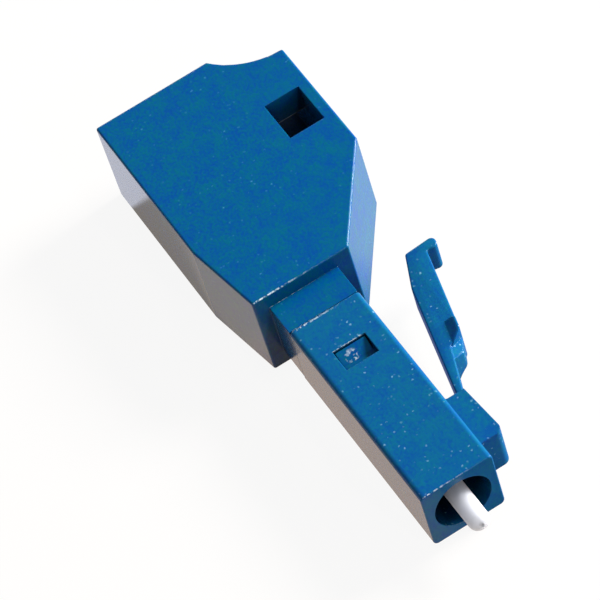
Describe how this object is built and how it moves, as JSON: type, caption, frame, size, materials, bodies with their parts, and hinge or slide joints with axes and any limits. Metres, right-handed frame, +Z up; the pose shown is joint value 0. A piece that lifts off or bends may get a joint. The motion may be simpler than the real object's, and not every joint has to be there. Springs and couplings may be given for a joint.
{
  "type": "fibre optic attenuator",
  "caption": "Plug-to-socket fixed fibre optic attenuator: square plug nose with sprung ferrule and latch lever in front, tapered flat socket housing with latch windows behind.",
  "frame": {"origin": "on the optical axis, at the front face of the plug nose", "axes": "+X along the optical axis towards the ferrule tip, +Y towards the latch, +Z up as it lies on its side"},
  "size_m": [0.0344, 0.0116, 0.0062],
  "materials": {
    "blue_plastic": "moulded, fine grain, satin gloss",
    "white_ceramic": "polished zirconia",
    "fibre_glass": "doped silica, polished ends",
    "flange_metal": "turned, nickel plated",
    "spring_steel": "drawn stainless wire",
    "stop_metal": "turned",
    "holder_plastic": "moulded, plain"
  },
  "bodies": {
    "housing": {"rear_housing": "blue_plastic", "nose_housing": "blue_plastic", "coil_spring": "spring_steel", "sleeve_stop": "stop_metal", "sleeve_holder": "holder_plastic", "split_sleeve": "white_ceramic"},
    "latch": {"latch_lever": "blue_plastic"},
    "ferrule_unit": {"ferrule": "white_ceramic", "attenuating_fibre": "fibre_glass", "ferrule_flange": "flange_metal"}
  },
  "joints": [
    {"name": "latch_press", "type": "hinge", "parent": "housing", "child": "latch", "pos_m": [-0.0053, 0.00328, 0], "axis": [0, 0, 1], "range_deg": [0, 19], "stiffness_Nm_per_rad": 0.07},
    {"name": "ferrule_slide", "type": "slide", "parent": "housing", "child": "ferrule_unit", "axis": [1, 0, 0], "range_m": [-0.001, 0], "stiffness_N_per_m": 1000, "deforming": ["coil_spring"]}
  ]
}
